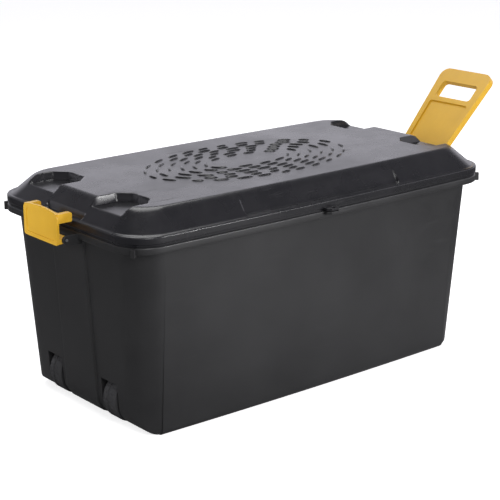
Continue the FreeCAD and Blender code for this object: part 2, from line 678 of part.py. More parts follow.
ALONG_MINUS_Y = (1, 0, 0)
ALONG_PLUS_X = (0, 1, 0)
AXLE_X = "-Sizes.rim_length / 2 + Sizes.wheel_setback"
AXLE_Z = "Sizes.wheel_lift + Sizes.wheel_radius"
HOUSING_HALF = "(Sizes.wheel_width / 2 + Sizes.wheel_clearance + Sizes.wall)"


def make_axle(label, side):
    """Steel axle of one wheel, headed at its outer end, through both walls of the housing."""
    outer = "(Sizes.wheel_offset + %s)" % HOUSING_HALF
    inner = "(Sizes.wheel_offset - %s - 3 * Sizes.push_nut)" % HOUSING_HALF
    start = outer if side > 0 else "-" + inner
    shank = make_cylinder(label + "_shank", "Sizes.axle_radius", "%s - %s" % (outer, inner),
                          (AXLE_X, start, AXLE_Z), ALONG_MINUS_Y)
    head_start = "%s + Sizes.axle_head" % outer if side > 0 else "-" + outer
    head = make_cylinder(label + "_head", "Sizes.axle_head_radius", "Sizes.axle_head",
                         (AXLE_X, head_start, AXLE_Z), ALONG_MINUS_Y)
    axle = doc.addObject("Part::MultiFuse", label)
    axle.Label = label
    axle.Shapes = [shank, head]
    return axle


def make_push_nuts():
    """Push-on nut on the inner end of each axle."""
    nuts = []
    inner = "(Sizes.wheel_offset - %s)" % HOUSING_HALF
    for name, start in (("front", "-(%s - Sizes.push_nut)" % inner), ("back", inner)):
        disc = make_cylinder("push_nut_%s_disc" % name, "Sizes.push_nut_radius", "Sizes.push_nut",
                             (AXLE_X, start, AXLE_Z), ALONG_MINUS_Y)
        hole = make_cylinder("push_nut_%s_hole" % name, "Sizes.axle_radius", "Sizes.push_nut",
                             (AXLE_X, start, AXLE_Z), ALONG_MINUS_Y)
        nut = doc.addObject("Part::Cut", "push_nut_" + name)
        nut.Base = disc
        nut.Tool = hole
        nuts.append(nut)
    group = doc.addObject("Part::Compound", "axle_push_nuts")
    group.Label = "axle_push_nuts"
    group.Links = nuts
    return group


def make_hinge_pins():
    """Steel pin through the knuckles of each lid hinge."""
    half = "(Sizes.lid_knuckle_length / 2 + Sizes.body_gap + Sizes.knuckle_length)"
    pins = []
    for name, side in (("left", -1), ("right", 1)):
        place = (
            "%d * Sizes.hinge_spacing / 2 - %s" % (side, half),
            "Sizes.rim_width / 2 + Sizes.hinge_pivot_out",
            "Sizes.rim_top + Sizes.hinge_pivot_up",
        )
        pins.append(make_cylinder("hinge_pin_" + name, "Sizes.hinge_pin_radius", "2 * " + half,
                                  place, ALONG_PLUS_X))
    return pins


def make_cross_pin(label, radius, half_gap, across, height):
    """Steel pin along Y between the outer faces of a pair of cheeks."""
    half = "(%s + Sizes.body_gap + Sizes.cheek)" % half_gap
    return make_cylinder(label, radius, "2 * " + half, (across, half, height), ALONG_MINUS_Y)


nodes = [
    add_shape("tub", tub_shape()),
    add_shape("lid", lid_shape()),
    make_latch(),
    make_cross_pin("latch_pin", "Sizes.latch_pin_radius", "Sizes.latch_half_width",
                   "-Sizes.rim_length / 2 - Sizes.latch_pivot_out",
                   "Sizes.rim_top - Sizes.latch_pivot_drop"),
    make_tow_handle(),
    make_cross_pin("tow_handle_pin", "Sizes.handle_pin_radius", "Sizes.handle_half_width_low",
                   "Sizes.rim_length / 2 + Sizes.handle_pivot_out",
                   "Sizes.rim_top - Sizes.handle_pivot_drop"),
    make_wheel("wheel_front", -1),
    make_wheel("wheel_back", 1),
    make_axle("axle_front", -1),
    make_axle("axle_back", 1),
    make_push_nuts(),
]
nodes += make_hinge_pins()
doc.recompute()

for item in doc.Objects:
    if "Invalid" in item.State or "Error" in item.State:
        raise RuntimeError("%s failed: %s" % (item.Name, item.State))
for node in nodes:
    if node.Shape.isNull() or not node.Shape.isValid():
        raise RuntimeError("%s has no valid shape" % node.Label)

os.makedirs("parts", exist_ok=True)
for node in nodes:
    node.Shape.exportStep("parts/%s.step" % node.Label)
    print("%-16s %d solid %10.1f cm3" % (node.Label, len(node.Shape.Solids), node.Shape.Volume / 1000))
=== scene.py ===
import math

import bmesh
import bpy
import numpy as np
from mathutils import Matrix, Vector


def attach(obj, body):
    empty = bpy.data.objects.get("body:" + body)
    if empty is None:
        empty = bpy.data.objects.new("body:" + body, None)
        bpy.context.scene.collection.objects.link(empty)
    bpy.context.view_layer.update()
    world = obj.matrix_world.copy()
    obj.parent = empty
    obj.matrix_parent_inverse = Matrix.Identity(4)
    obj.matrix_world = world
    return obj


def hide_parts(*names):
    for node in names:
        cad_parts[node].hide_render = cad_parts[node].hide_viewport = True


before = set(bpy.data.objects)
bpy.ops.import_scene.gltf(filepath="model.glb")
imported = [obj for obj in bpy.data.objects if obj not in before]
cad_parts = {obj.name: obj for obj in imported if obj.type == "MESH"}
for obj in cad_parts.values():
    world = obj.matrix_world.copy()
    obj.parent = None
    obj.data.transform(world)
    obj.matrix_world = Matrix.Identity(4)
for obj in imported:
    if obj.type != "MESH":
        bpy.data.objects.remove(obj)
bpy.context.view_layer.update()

# ---- Tub shell ----
# One injection-moulded tub in satin black plastic. Its walls lean inwards towards the floor, a turned-down
# rim stiffens the top, the wheel end is rounded at the floor, and the two wheel housings are part of it.
MM = 0.001
RIM_LENGTH, RIM_WIDTH, RIM_CORNER, CORNER_SHARE = 978.0, 523.0, 72.0, 0.27
SIDE_BOW, END_BOW = 7.0, 4.0
WALL, FLOOR, RIM_TOP, RIM_LOW, LIP_TOP = 3.0, 3.5, 410.0, 395.0, 417.0
OVERHANG, DRAFT, RIM_INNER = 20.0, 24.0, 17.0
FLOOR_CORNER, FOOT_ROUND = 12.0, 14.0
END_CENTRE_X, END_ROUND = -388.6, 60.0
PANEL_HALF, PANEL_PROUD, PANEL_RAMP = 58.0, 4.0, 1.4
AXLE_X, AXLE_Z, WHEEL_Y = -404.0, 56.0, 101.0
HOUSING_RADIUS, HOUSING_HALF, OPENING = 56.0, 28.0, 98.0
IN_END_WALL, PAST_END, PAST_FLOOR = -449.2, -500.0, -6.0


def spread(start, stop, steps):
    """Evenly spaced values after start, up to and with stop."""
    return start + (stop - start) * np.arange(1, steps + 1) / steps


def plan_rings(inset, share, end_y, side_x, corner_steps, fill_steps):
    """Closed plan outlines of the box, one row for each inset, as x and y.
    A quarter follows three arcs: the end bow |p - (e, 0)| = Re at the given y values, the corner, and the
    side bow |p - (0, s)| = Rs at the given x values. Below a share of 1 the row shrinks towards the plan's
    own centre line, t + share * (p - t), where t is x held within half length - half width."""
    inset = np.asarray(inset, float)[:, None]
    share = np.asarray(share, float)[:, None]
    half_length = RIM_LENGTH / 2 - inset
    half_width = RIM_WIDTH / 2 - inset
    corner = RIM_CORNER - CORNER_SHARE * inset
    side_radius = (half_length ** 2 + SIDE_BOW ** 2) / (2 * SIDE_BOW)
    end_radius = (half_width ** 2 + END_BOW ** 2) / (2 * END_BOW)
    side_y, end_x = half_width - side_radius, half_length - end_radius
    from_side, from_end = side_radius - corner, end_radius - corner
    apart = np.hypot(end_x, side_y)
    along = (from_side ** 2 - from_end ** 2 + apart ** 2) / (2 * apart)
    aside = np.sqrt(from_side ** 2 - along ** 2)
    forward_x, forward_y = end_x / apart, -side_y / apart
    meet_x = [forward_x * along - sign * forward_y * aside for sign in (1, -1)]
    meet_y = [side_y + forward_y * along + sign * forward_x * aside for sign in (1, -1)]
    first = meet_x[0] + meet_y[0] > meet_x[1] + meet_y[1]
    corner_x = np.where(first, meet_x[0], meet_x[1])
    corner_y = np.where(first, meet_y[0], meet_y[1])
    end_stop = np.arctan2(corner_y, corner_x - end_x)
    side_start = np.arctan2(corner_y - side_y, corner_x)
    on_end = np.arcsin(np.asarray(end_y)[None, :] / end_radius)
    on_end = np.concatenate([on_end, spread(on_end[:, -1:], end_stop, fill_steps)], 1)
    on_corner = spread(end_stop, side_start, corner_steps)
    on_side = np.arccos(np.asarray(side_x)[None, :] / side_radius)
    on_side = np.concatenate([spread(side_start, on_side[:, :1], fill_steps), on_side[:, 1:]], 1)
    x = np.concatenate([end_x + end_radius * np.cos(on_end), corner_x + corner * np.cos(on_corner),
                        side_radius * np.cos(on_side)], 1)
    y = np.concatenate([end_radius * np.sin(on_end), corner_y + corner * np.sin(on_corner),
                        side_y + side_radius * np.sin(on_side)], 1)
    x = np.concatenate([x, -x[:, -2::-1], -x[:, 1:], x[:, -2:0:-1]], 1)
    y = np.concatenate([y, y[:, -2::-1], -y[:, 1:], -y[:, -2:0:-1]], 1)
    reach = half_length - half_width
    middle = np.clip(x, -reach, reach)
    return middle + share * (x - middle), share * y


def grid_faces(rows, columns):
    """Quads of a grid numbered row by row, with its last column joined to its first."""
    row, column = np.meshgrid(np.arange(rows - 1), np.arange(columns), indexing="ij")
    here = row * columns + column
    beside = row * columns + (column + 1) % columns
    return np.stack([here, beside, beside + columns, here + columns], -1).reshape(-1, 4)


def add_solid(name, points, faces, sharp_degrees=35):
    """Object made of points in millimetres, with meeting points joined and every face turned outwards."""
    mesh = bpy.data.meshes.new(name)
    mesh.from_pydata((np.asarray(points) * MM).tolist(), [], [list(face) for face in faces])
    work = bmesh.new()
    work.from_mesh(mesh)
    bmesh.ops.remove_doubles(work, verts=work.verts, dist=2e-6)
    bmesh.ops.dissolve_degenerate(work, edges=work.edges, dist=2e-6)
    bmesh.ops.recalc_face_normals(work, faces=work.faces)
    work.to_mesh(mesh)
    work.free()
    mesh.shade_smooth()
    mesh.set_sharp_from_angle(angle=math.radians(sharp_degrees))
    solid = bpy.data.objects.new(name, mesh)
    bpy.context.scene.collection.objects.link(solid)
    return solid


def prism_points(outline, axis, low, high):
    """Points and faces of the outline pushed along an axis: all of (p, low), then all of (p, high)."""
    outline = np.asarray(outline, float)
    count = len(outline)
    ends = [np.insert(outline, "xyz".index(axis), place, axis=1) for place in (low, high)]
    ring = list(range(count))
    faces = [[i, (i + 1) % count, (i + 1) % count + count, i + count] for i in ring]
    faces += [ring, [i + count for i in ring]]
    return np.concatenate(ends), faces


def add_prism(name, outline, axis, low, high):
    """Straight solid across an axis, its outline given in the other two directions in their own order."""
    return add_solid(name, *prism_points(outline, axis, low, high))


def arc_points(centre, radius, start, stop, steps):
    """Points centre + radius (cos a, sin a) for a from start to stop degrees."""
    angle = np.radians(np.linspace(start, stop, steps + 1))
    return np.stack([centre[0] + radius * np.cos(angle), centre[1] + radius * np.sin(angle)], 1)


def combine(solid, operation, *tools):
    """Joins the tools to the solid or cuts them from it, and removes them."""
    for tool in tools:
        change = solid.modifiers.new(operation.lower(), "BOOLEAN")
        change.operation = operation
        change.solver = "EXACT"
        change.object = tool
    ready = solid.evaluated_get(bpy.context.evaluated_depsgraph_get())
    mesh = bpy.data.meshes.new_from_object(ready)
    solid.modifiers.clear()
    solid.data = mesh
    for tool in tools:
        bpy.data.objects.remove(tool)
    mesh.shade_smooth()
    mesh.set_sharp_from_angle(angle=math.radians(35))


def wall_inset(height):
    """How far the tub's outer wall lies inside the rim's edge: 20 + 24 (1 - z / 395)."""
    return OVERHANG + DRAFT * (1 - np.asarray(height, float) / RIM_LOW)


def shell_group(name, scale, bump_scale):
    """Shader group for moulded plastic: soft flow mottle, fine grain height, long scuffs and settled dust."""
    group = bpy.data.node_groups.new(name, "ShaderNodeTree")
    for output in ("Mottle", "Grain", "Scuff", "Dust"):
        group.interface.new_socket(output, in_out="OUTPUT", socket_type="NodeSocketFloat")
    nodes, links = group.nodes, group.links
    place = nodes.new("ShaderNodeTexCoord")
    out = nodes.new("NodeGroupOutput")

    def noise(size, detail, roughness, stretch=None):
        """Noise of about the given number of waves in a metre, stretched along an axis where asked."""
        source = place.outputs["Object"]
        if stretch:
            turned = nodes.new("ShaderNodeMapping")
            turned.inputs["Scale"].default_value = stretch
            turned.inputs["Rotation"].default_value = (0.3, 0.2, 0.5)
            links.new(source, turned.inputs["Vector"])
            source = turned.outputs["Vector"]
        texture = nodes.new("ShaderNodeTexNoise")
        texture.inputs["Scale"].default_value = size
        texture.inputs["Detail"].default_value = detail
        texture.inputs["Roughness"].default_value = roughness
        links.new(source, texture.inputs["Vector"])
        return texture.outputs["Fac"]

    def step(value, low, high):
        """Value taken from low..high to 0..1, held at both ends."""
        mapped = nodes.new("ShaderNodeMapRange")
        mapped.inputs["From Min"].default_value = low
        mapped.inputs["From Max"].default_value = high
        links.new(value, mapped.inputs["Value"])
        return mapped.outputs["Result"]

    def multiply(first, second):
        """Product of two values."""
        product = nodes.new("ShaderNodeMath")
        product.operation = "MULTIPLY"
        links.new(first, product.inputs[0])
        links.new(second, product.inputs[1])
        return product.outputs[0]

    links.new(step(noise(scale, 4, 0.6), 0.3, 0.7), out.inputs["Mottle"])
    links.new(noise(bump_scale, 3, 0.55), out.inputs["Grain"])
    scuffs = step(noise(26, 6, 0.7, (0.25, 1.6, 3.0)), 0.6, 0.72)
    links.new(multiply(scuffs, step(noise(5, 2, 0.5), 0.45, 0.65)), out.inputs["Scuff"])
    facing = nodes.new("ShaderNodeNewGeometry")
    parts = nodes.new("ShaderNodeSeparateXYZ")
    links.new(facing.outputs["Normal"], parts.inputs["Vector"])
    upward = step(parts.outputs["Z"], 0.3, 0.95)
    links.new(multiply(upward, step(noise(38, 7, 0.72), 0.42, 0.78)), out.inputs["Dust"])
    return group


MOULDED = shell_group("moulded_surface", 7.0, 1500.0)


def plastic(name, dark, light, roughness, dust, grain_depth=0.00003):
    """Moulded plastic: its colour drifts with the mottle, scuffs and dust pale it and dull its shine."""
    material = bpy.data.materials.new(name)
    material.use_nodes = True
    nodes, links = material.node_tree.nodes, material.node_tree.links
    shader = nodes["Principled BSDF"]
    surface = nodes.new("ShaderNodeGroup")
    surface.node_tree = MOULDED

    def blend(mask, strength, first, second):
        """Colour that goes from first to second as the mask, times its strength, goes from 0 to 1."""
        amount = nodes.new("ShaderNodeMath")
        amount.operation = "MULTIPLY"
        amount.inputs[1].default_value = strength
        links.new(mask, amount.inputs[0])
        mix = nodes.new("ShaderNodeMix")
        mix.data_type = "RGBA"
        links.new(amount.outputs[0], mix.inputs["Factor"])
        for socket, colour in ((mix.inputs[6], first), (mix.inputs[7], second)):
            if isinstance(colour, tuple):
                socket.default_value = (*colour, 1)
            else:
                links.new(colour, socket)
        return mix.outputs[2]

    colour = blend(surface.outputs["Mottle"], 1, dark, light)
    pale = tuple(0.5 * part + 0.1 for part in light)
    colour = blend(surface.outputs["Scuff"], 0.12, colour, pale)
    colour = blend(surface.outputs["Dust"], dust, colour, (0.3, 0.29, 0.3))
    links.new(colour, shader.inputs["Base Color"])
    rough = nodes.new("ShaderNodeMapRange")
    rough.inputs["To Min"].default_value = roughness - 0.04
    rough.inputs["To Max"].default_value = roughness + 0.06
    links.new(surface.outputs["Mottle"], rough.inputs["Value"])
    duller = nodes.new("ShaderNodeMath")
    duller.operation = "MULTIPLY_ADD"
    duller.inputs[1].default_value = 0.15
    links.new(surface.outputs["Scuff"], duller.inputs[0])
    links.new(rough.outputs["Result"], duller.inputs[2])
    links.new(duller.outputs[0], shader.inputs["Roughness"])
    bump = nodes.new("ShaderNodeBump")
    bump.inputs["Distance"].default_value = grain_depth
    links.new(surface.outputs["Grain"], bump.inputs["Height"])
    links.new(bump.outputs["Normal"], shader.inputs["Normal"])
    return material


def dress(piece, material, body):
    """Gives the piece its material, and has it move with a body."""
    piece.data.materials.clear()
    piece.data.materials.append(material)
    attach(piece, body)


BLACK = plastic("satin_black_plastic", (0.015, 0.015, 0.0155), (0.02, 0.02, 0.0205), 0.38, 0.03)


def corner_rows(inset, height, radius, start, stop, steps):
    """Profile rows round an arc in the plane of inset and height."""
    return [tuple(row) for row in arc_points((inset, height), radius, start, stop, steps)]


def wall_rows(heights, inwards=0.0):
    """Profile rows on the wall's outer face at the given heights, moved inwards by the given thickness."""
    return [(float(wall_inset(height)) + inwards, height) for height in heights]


# Profile from the floor's middle up inside, over the lip, out along the rim, down and round its hem, and
# back down the outer wall to the floor.
floor_gap = float(wall_inset(FLOOR)) + WALL
inside = [(floor_gap + FLOOR_CORNER, FLOOR)]
inside += corner_rows(floor_gap + FLOOR_CORNER - 0.5, FLOOR + FLOOR_CORNER, FLOOR_CORNER, 250, 185, 5)
inside += wall_rows((24, 40, 60, 80, 95, 110, 130, 170, 220, 280, 340, RIM_LOW, 414), WALL)
lip_side, lip_edge = float(wall_inset(416)), float(wall_inset(LIP_TOP))
lip = [(lip_side + 2.6, 416.4), (lip_edge + 1.8, LIP_TOP), (lip_edge + 1.0, LIP_TOP), (lip_side + 0.2, 416.2)]
lip += wall_rows([412.0]) + [(float(wall_inset(411)) - 0.6, 410.7), (RIM_INNER, RIM_TOP)]
rim = [(10.0, RIM_TOP)] + corner_rows(3.0, RIM_TOP - 3, 3.0, 90, 180, 5)
rim += [(0.0, 400.0), (0.0, 396.0), (0.4, 395.3), (1.0, RIM_LOW), (2.2, RIM_LOW), (2.8, 395.4), (WALL, 396.2)]
rim += [(WALL, 404.0), (3.6, 406.2), (5.2, 407.0), (RIM_INNER, 407.0), (RIM_INNER + 2, 406.0)]
outer = wall_rows((404, RIM_LOW, 394, 360, 320, 280, 240, 200, 170, 145, 125, 110, 100, 95))
outer += wall_rows((84, 72, 62, 54, 46, 38, 30, 23, 16))
outer += corner_rows(float(wall_inset(FOOT_ROUND)) + FOOT_ROUND, FOOT_ROUND, FOOT_ROUND, 180, 270, 6)
profile = inside + lip + rim + outer
collapse = (0.0, 0.25, 0.5, 0.75, 0.9)
rows = [(inside[0][0], FLOOR, share) for share in collapse] + [(*row, 1.0) for row in profile]
rows += [(outer[-1][0], outer[-1][1], share) for share in reversed(collapse)]
rows = np.array(rows)

# The columns lie closest where the raised end panel steps down to the wall.
end_stations = np.array([0, 12, 24, 36, 46, 52, 56.2, 57.4, 58.6, 59.8, 64, 72, 82, 92, 102, 112, 122, 134.0])
side_stations = np.array([400.0, 375, 350, 320, 290, 260, 230, 200, 160, 120, 80, 40, 0])
x, y = plan_rings(rows[:, 0], rows[:, 2], end_stations, side_stations, 14, 4)
z = np.repeat(rows[:, 1][:, None], x.shape[1], 1)
outer_row = np.zeros(len(rows), bool)
outer_row[len(collapse) + len(inside) + len(lip) + len(rim) + 1:] = True
raised = np.clip((PANEL_HALF + PANEL_RAMP / 2 - np.abs(y)) / PANEL_RAMP, 0, 1) * (x < -300)
raised = raised * outer_row[:, None] * np.clip(RIM_LOW + 0.5 - z, 0, 1) * np.clip(z / 8, 0, 1)
x = x - PANEL_PROUD * raised

# Below the centre of the end's rounding, every point beyond its radius is pulled in to it.
limit = np.where(outer_row[:, None], END_ROUND + PANEL_PROUD * raised, END_ROUND - WALL)
across, up = x - END_CENTRE_X, z - END_ROUND
distance = np.hypot(across, up)
pull = (across < 0) & (up < 0) & (distance > limit)
scale = np.where(pull, limit / np.maximum(distance, 1), 1)
x = END_CENTRE_X + across * scale
z = END_ROUND + up * scale
points = np.stack([x, y, z], -1).reshape(-1, 3)
tub_shell = add_solid("tub_shell", points, grid_faces(*x.shape))


def arch_to(radius, height):
    """Points round the axle from level with it up and over to a height on the end's side."""
    stop = 180 - math.degrees(math.asin((height - AXLE_Z) / radius))
    return arc_points((AXLE_X, AXLE_Z), radius, 0, stop, 20)


def across_housings(name, outline, half):
    """The same straight solid at both wheels, the given half width to each side of the wheel's middle."""
    return [add_prism(name, outline, "y", side * WHEEL_Y - half, side * WHEEL_Y + half) for side in (-1, 1)]


end_curve = arc_points((END_CENTRE_X, END_ROUND), END_ROUND - WALL / 2, 180, 270, 14)
wall_outline = np.concatenate([[(AXLE_X + HOUSING_RADIUS + WALL, FLOOR / 2)],
                               arch_to(HOUSING_RADIUS + WALL, OPENING + WALL),
                               [(IN_END_WALL, OPENING + WALL)], end_curve])
space = np.concatenate([[(AXLE_X + HOUSING_RADIUS, PAST_FLOOR)], arch_to(HOUSING_RADIUS, OPENING),
                        [(PAST_END, OPENING), (PAST_END, PAST_FLOOR)]])
combine(tub_shell, "UNION", *across_housings("housing_wall", wall_outline, HOUSING_HALF + WALL))
combine(tub_shell, "DIFFERENCE", *across_housings("housing_space", space, HOUSING_HALF))
dress(tub_shell, BLACK, "tub")
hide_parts("tub")

# ---- Pin cheeks, hinge knuckles, padlock tab and rim lugs on the tub ----
# Small lugs moulded with the rim in the same black plastic: two cheeks for each end pin, two knuckles for
# each hinge pin, a flat tab with an eye for a padlock, and a short stacking lug at each corner of the rim.
CHEEK, NOSE, CHEEK_SUNK, CHEEK_HEEL, PIN_GAP, BODY_GAP = 5.0, 9.0, 3.0, 4.0, 0.05, 0.3
LATCH_X, LATCH_Z, LATCH_HALF, LATCH_PIN = -514.0, 397.0, 62.0, 3.0
TOW_X, TOW_Z, TOW_HALF, TOW_PIN = 515.0, 395.0, 56.0, 4.0
HINGE_Y, HINGE_Z, HINGE_X, HINGE_PIN = 270.0, 418.0, 300.0, 2.5
KNUCKLE, KNUCKLE_LENGTH, LID_KNUCKLE_LENGTH = 6.0, 18.0, 30.0
TAB_HALF, TAB_ROOT, TAB_TIP, TAB_THICK, TAB_TRIM, TAB_LOW = 17.0, -258.5, -277.5, 6.0, 8.0, 403.4
EYE_Y, EYE_RADIUS = -270.0, 4.5
LUG_X, LUG_Y, LUG_OUT, LUG_LOW, LUG_TOP = 474.0, 233.5, (0.79, 0.61), 392.0, 409.5


def circle_points(centre, radius):
    """Outline of 24 points round a hole or a barrel."""
    return arc_points(centre, radius, 0, 345, 23)


def soften(piece, width, segments=3):
    """Rounds every edge that turns by more than 30 degrees, over the given width in millimetres."""
    change = piece.modifiers.new("rounded_edges", "BEVEL")
    change.width = width * MM
    change.segments = segments
    change.limit_method = "ANGLE"
    change.angle_limit = math.radians(30)
    change.use_clamp_overlap = True
    change.harden_normals = True
    return piece


def pin_cheeks(name, pivot_x, pivot_z, half, pin, inwards):
    """Two plates with round noses about a pin, run back into the rim."""
    root = pivot_x + inwards * (NOSE + OVERHANG + WALL + CHEEK_SUNK)
    turn = arc_points((pivot_x, pivot_z), NOSE, 90, 90 + inwards * 180, 16)
    outline = np.concatenate([turn, [(root, pivot_z - NOSE - CHEEK_HEEL), (root, pivot_z + NOSE)]])
    for side, word in ((-1, "near"), (1, "far")):
        middle = side * (half + BODY_GAP + CHEEK / 2)
        cheek = add_prism(name + "_" + word, outline, "y", middle - CHEEK / 2, middle + CHEEK / 2)
        hole = circle_points((pivot_x, pivot_z), pin + PIN_GAP)
        combine(cheek, "DIFFERENCE", add_prism("hole", hole, "y", middle - CHEEK, middle + CHEEK))
        dress(soften(cheek, 0.9), BLACK, "tub")


pin_cheeks("latch_cheek", LATCH_X, LATCH_Z, LATCH_HALF, LATCH_PIN, 1)
pin_cheeks("tow_cheek", TOW_X, TOW_Z, TOW_HALF, TOW_PIN, -1)


def knuckle(name, start, length, foot, material, body):
    """Round-ended hinge knuckle about the hinge axis, drilled for its pin."""
    piece = add_prism(name, foot, "x", start, start + length)
    hole = circle_points((HINGE_Y, HINGE_Z), HINGE_PIN + PIN_GAP)
    combine(piece, "DIFFERENCE", add_prism("hole", hole, "x", start - 5, start + length + 5))
    dress(soften(piece, 0.6), material, body)


rim_edge = RIM_WIDTH / 2
foot_top = RIM_TOP - 0.2
tub_foot = np.concatenate([[(rim_edge - 6, RIM_LOW + 1), (rim_edge - 6, foot_top)],
                           [(rim_edge - 0.3, foot_top)],
                           arc_points((HINGE_Y, HINGE_Z), KNUCKLE, 180, 0, 14), [(rim_edge, RIM_LOW + 1)]])
for hinge, word in ((-1, "left"), (1, "right")):
    for side, place in ((-1, "a"), (1, "b")):
        middle = hinge * HINGE_X + side * (LID_KNUCKLE_LENGTH / 2 + BODY_GAP + KNUCKLE_LENGTH / 2)
        knuckle("tub_knuckle_%s_%s" % (word, place), middle - KNUCKLE_LENGTH / 2, KNUCKLE_LENGTH, tub_foot,
                BLACK, "tub")


def lock_tab(name, low, material, body):
    """Flat tab with cut corners and a round eye."""
    outline = [(-TAB_HALF, TAB_ROOT), (-TAB_HALF, TAB_TIP + TAB_TRIM), (TAB_TRIM - TAB_HALF, TAB_TIP),
               (TAB_HALF - TAB_TRIM, TAB_TIP), (TAB_HALF, TAB_TIP + TAB_TRIM), (TAB_HALF, TAB_ROOT)]
    tab = add_prism(name, outline, "z", low, low + TAB_THICK)
    eye = circle_points((0, EYE_Y), EYE_RADIUS)
    combine(tab, "DIFFERENCE", add_prism("eye", eye, "z", low - 5, low + TAB_THICK + 5))
    dress(soften(tab, 1.0), material, body)


lock_tab("tub_lock_tab", TAB_LOW, BLACK, "tub")

for number, (side_x, side_y) in enumerate(((-1, -1), (1, -1), (-1, 1), (1, 1)), start=1):
    middle = np.array([side_x * LUG_X, side_y * LUG_Y])
    out = np.array([side_x * LUG_OUT[0], side_y * LUG_OUT[1]])
    along = np.array([-out[1], out[0]])
    outline = [middle + out * a + along * b for a, b in ((-6, -5), (3, -4), (3, 4), (-6, 5))]
    lug = add_prism("rim_lug_%d" % number, outline, "z", LUG_LOW, LUG_TOP)
    dress(soften(lug, 1.0), BLACK, "tub")

# ---- Lid shell ----
# A separate moulded lid in slightly glossier black plastic. It has a skirt, a narrow ledge, sloping sides
# and a flat deck, with a pocket near each corner, a finger scoop in front and a recess at each end.
LID_LOW, LEDGE_Z, DECK_Z = 410.3, 430.3, 472.3
LEDGE, SLOPE, DECK_ROUND, LEDGE_ROUND = 8.0, 39.0, 9.0, 3.0
SCOOP_HALF, SCOOP_DEPTH, SCOOP_TOP, SCOOP_SILL = 214.0, 11.0, 34.0, 1.5
POCKET_IN, POCKET_NEAR, POCKET_FAR, POCKET_TRIM, POCKET_DEPTH = 372.0, 66.0, 170.0, 24.0, 16.0
RECESS_X, RECESS_LATCH, RECESS_TOW = 470.0, 66.0, 73.0
SCOOP_STEEP, POCKET_STEEP, RECESS_STEEP = 3.0, 4.0, 5.0
MADE_FLAT, MADE_TOP, MADE_UNDER = 0, 1, 2


def soft_min(first, second, radius):
    """Lower of two heights, blended over the radius: min(a, b) - max(r - |a - b|, 0)^2 / 4r."""
    near = np.maximum(radius - np.abs(first - second), 0)
    return np.minimum(first, second) - near ** 2 / (4 * radius)


def soft_max(first, second, radius):
    """Higher of two heights, blended over the radius."""
    return -soft_min(-first, -second, radius)


def lid_height(x, y, inset, growth):
    """Height of the lid over a point: a ledge, a slope to the deck, and steep-sided hollows taken from them.
    Growth widens the hollows, which gives the underside its wall."""
    slope = LEDGE_Z + (DECK_Z - LEDGE_Z) * (inset - LEDGE) / SLOPE
    height = soft_max(soft_min(slope, DECK_Z, DECK_ROUND), LEDGE_Z, LEDGE_ROUND)
    scoop_slope = (SCOOP_TOP - SCOOP_SILL) / (SLOPE * SCOOP_TOP / (DECK_Z - LEDGE_Z) - SCOOP_DEPTH)
    back = LEDGE_Z + SCOOP_SILL + (inset - LEDGE - SCOOP_DEPTH - growth * 0.9) * scoop_slope
    scoop = soft_max(back, LEDGE_Z + SCOOP_SILL, LEDGE_ROUND)
    scoop = scoop + SCOOP_STEEP * np.maximum(np.abs(x) - SCOOP_HALF - growth + 5, 0) + 1000.0 * (y > 0)
    height = np.where(inset < LEDGE - 0.5, height, soft_min(height, scoop, 2.5))
    wide, deep = np.abs(x) - POCKET_IN, np.abs(y) - POCKET_NEAR
    far = POCKET_FAR - np.abs(y)
    outside = np.maximum.reduce([-wide, -deep, -far, (POCKET_TRIM - wide - deep) / math.sqrt(2),
                                 (POCKET_TRIM - wide - far) / math.sqrt(2)])
    pocket = DECK_Z - POCKET_DEPTH + POCKET_STEEP * np.maximum(outside - growth + 3, 0)
    height = soft_min(height, pocket, 3.0)
    room = np.where(x < 0, RECESS_LATCH, RECESS_TOW)
    beside = np.maximum(np.abs(y) - room, RECESS_X - np.abs(x))
    recess = LEDGE_Z + RECESS_STEEP * np.maximum(beside - growth + 1.5, 0)
    return np.where(inset < LEDGE - 0.5, height, soft_min(height, recess, 2.0))


# Skirt profile from its inner lower edge out, up over a shallow groove and round to the ledge.
skirt = [(WALL, LID_LOW + 0.3), (WALL - 0.2, LID_LOW), (2.4, LID_LOW), (2.2, LID_LOW + 0.6), (2.2, 414.2),
         (1.8, 415.0), (0.5, 415.6), (0.1, 416.2), (0.0, 417.4), (0.0, 427.0)]
skirt += corner_rows(3.3, LEDGE_Z - 3.3, 3.3, 180, 96, 6)

# Rows run from the middle of the underside out, round the skirt, and back in over the top. Each holds its
# inset, height, share and how its height is made.
ledge_steps = np.array([4.2, 5.4, 6.4, 7.2, 7.7, 8.3, 9.0, 9.8, 11.0])
slope_steps = np.arange(12.5, 50, 1.9)
deck_steps = np.arange(51.0, 124, 2.4)
inner_steps = np.concatenate([np.arange(122.0, 46, -4.0), np.arange(45.0, 11, -3.0)])
outer_insets = np.concatenate([ledge_steps, slope_steps, deck_steps])
lid_collapse = (0.85, 0.6, 0.3, 0.0)
skirt_inside, ledge_under = WALL + 1.2, LEDGE_Z - WALL
corner_under = [(10.0, ledge_under), (6.0, ledge_under), (skirt_inside, ledge_under - 1.5)]
corner_under += [(skirt_inside, 420.0), (skirt_inside, 412.5)]
rows = [(outer_insets[-1], 0.0, share, MADE_UNDER) for share in reversed(lid_collapse)]
rows += [(inset, 0.0, 1.0, MADE_UNDER) for inset in inner_steps]
rows += [(*row, 1.0, MADE_FLAT) for row in corner_under + skirt]
rows += [(inset, 0.0, 1.0, MADE_TOP) for inset in outer_insets]
rows += [(outer_insets[-1], 0.0, share, MADE_TOP) for share in lid_collapse]
rows = np.array(rows)
lid_end = np.arange(0, 91, 2.5)
lid_side = [[310.0, 290, 268, 245, 232], np.arange(226.0, 200, -2.0), np.arange(190.0, -1, -19)]
lid_side = np.concatenate(lid_side)
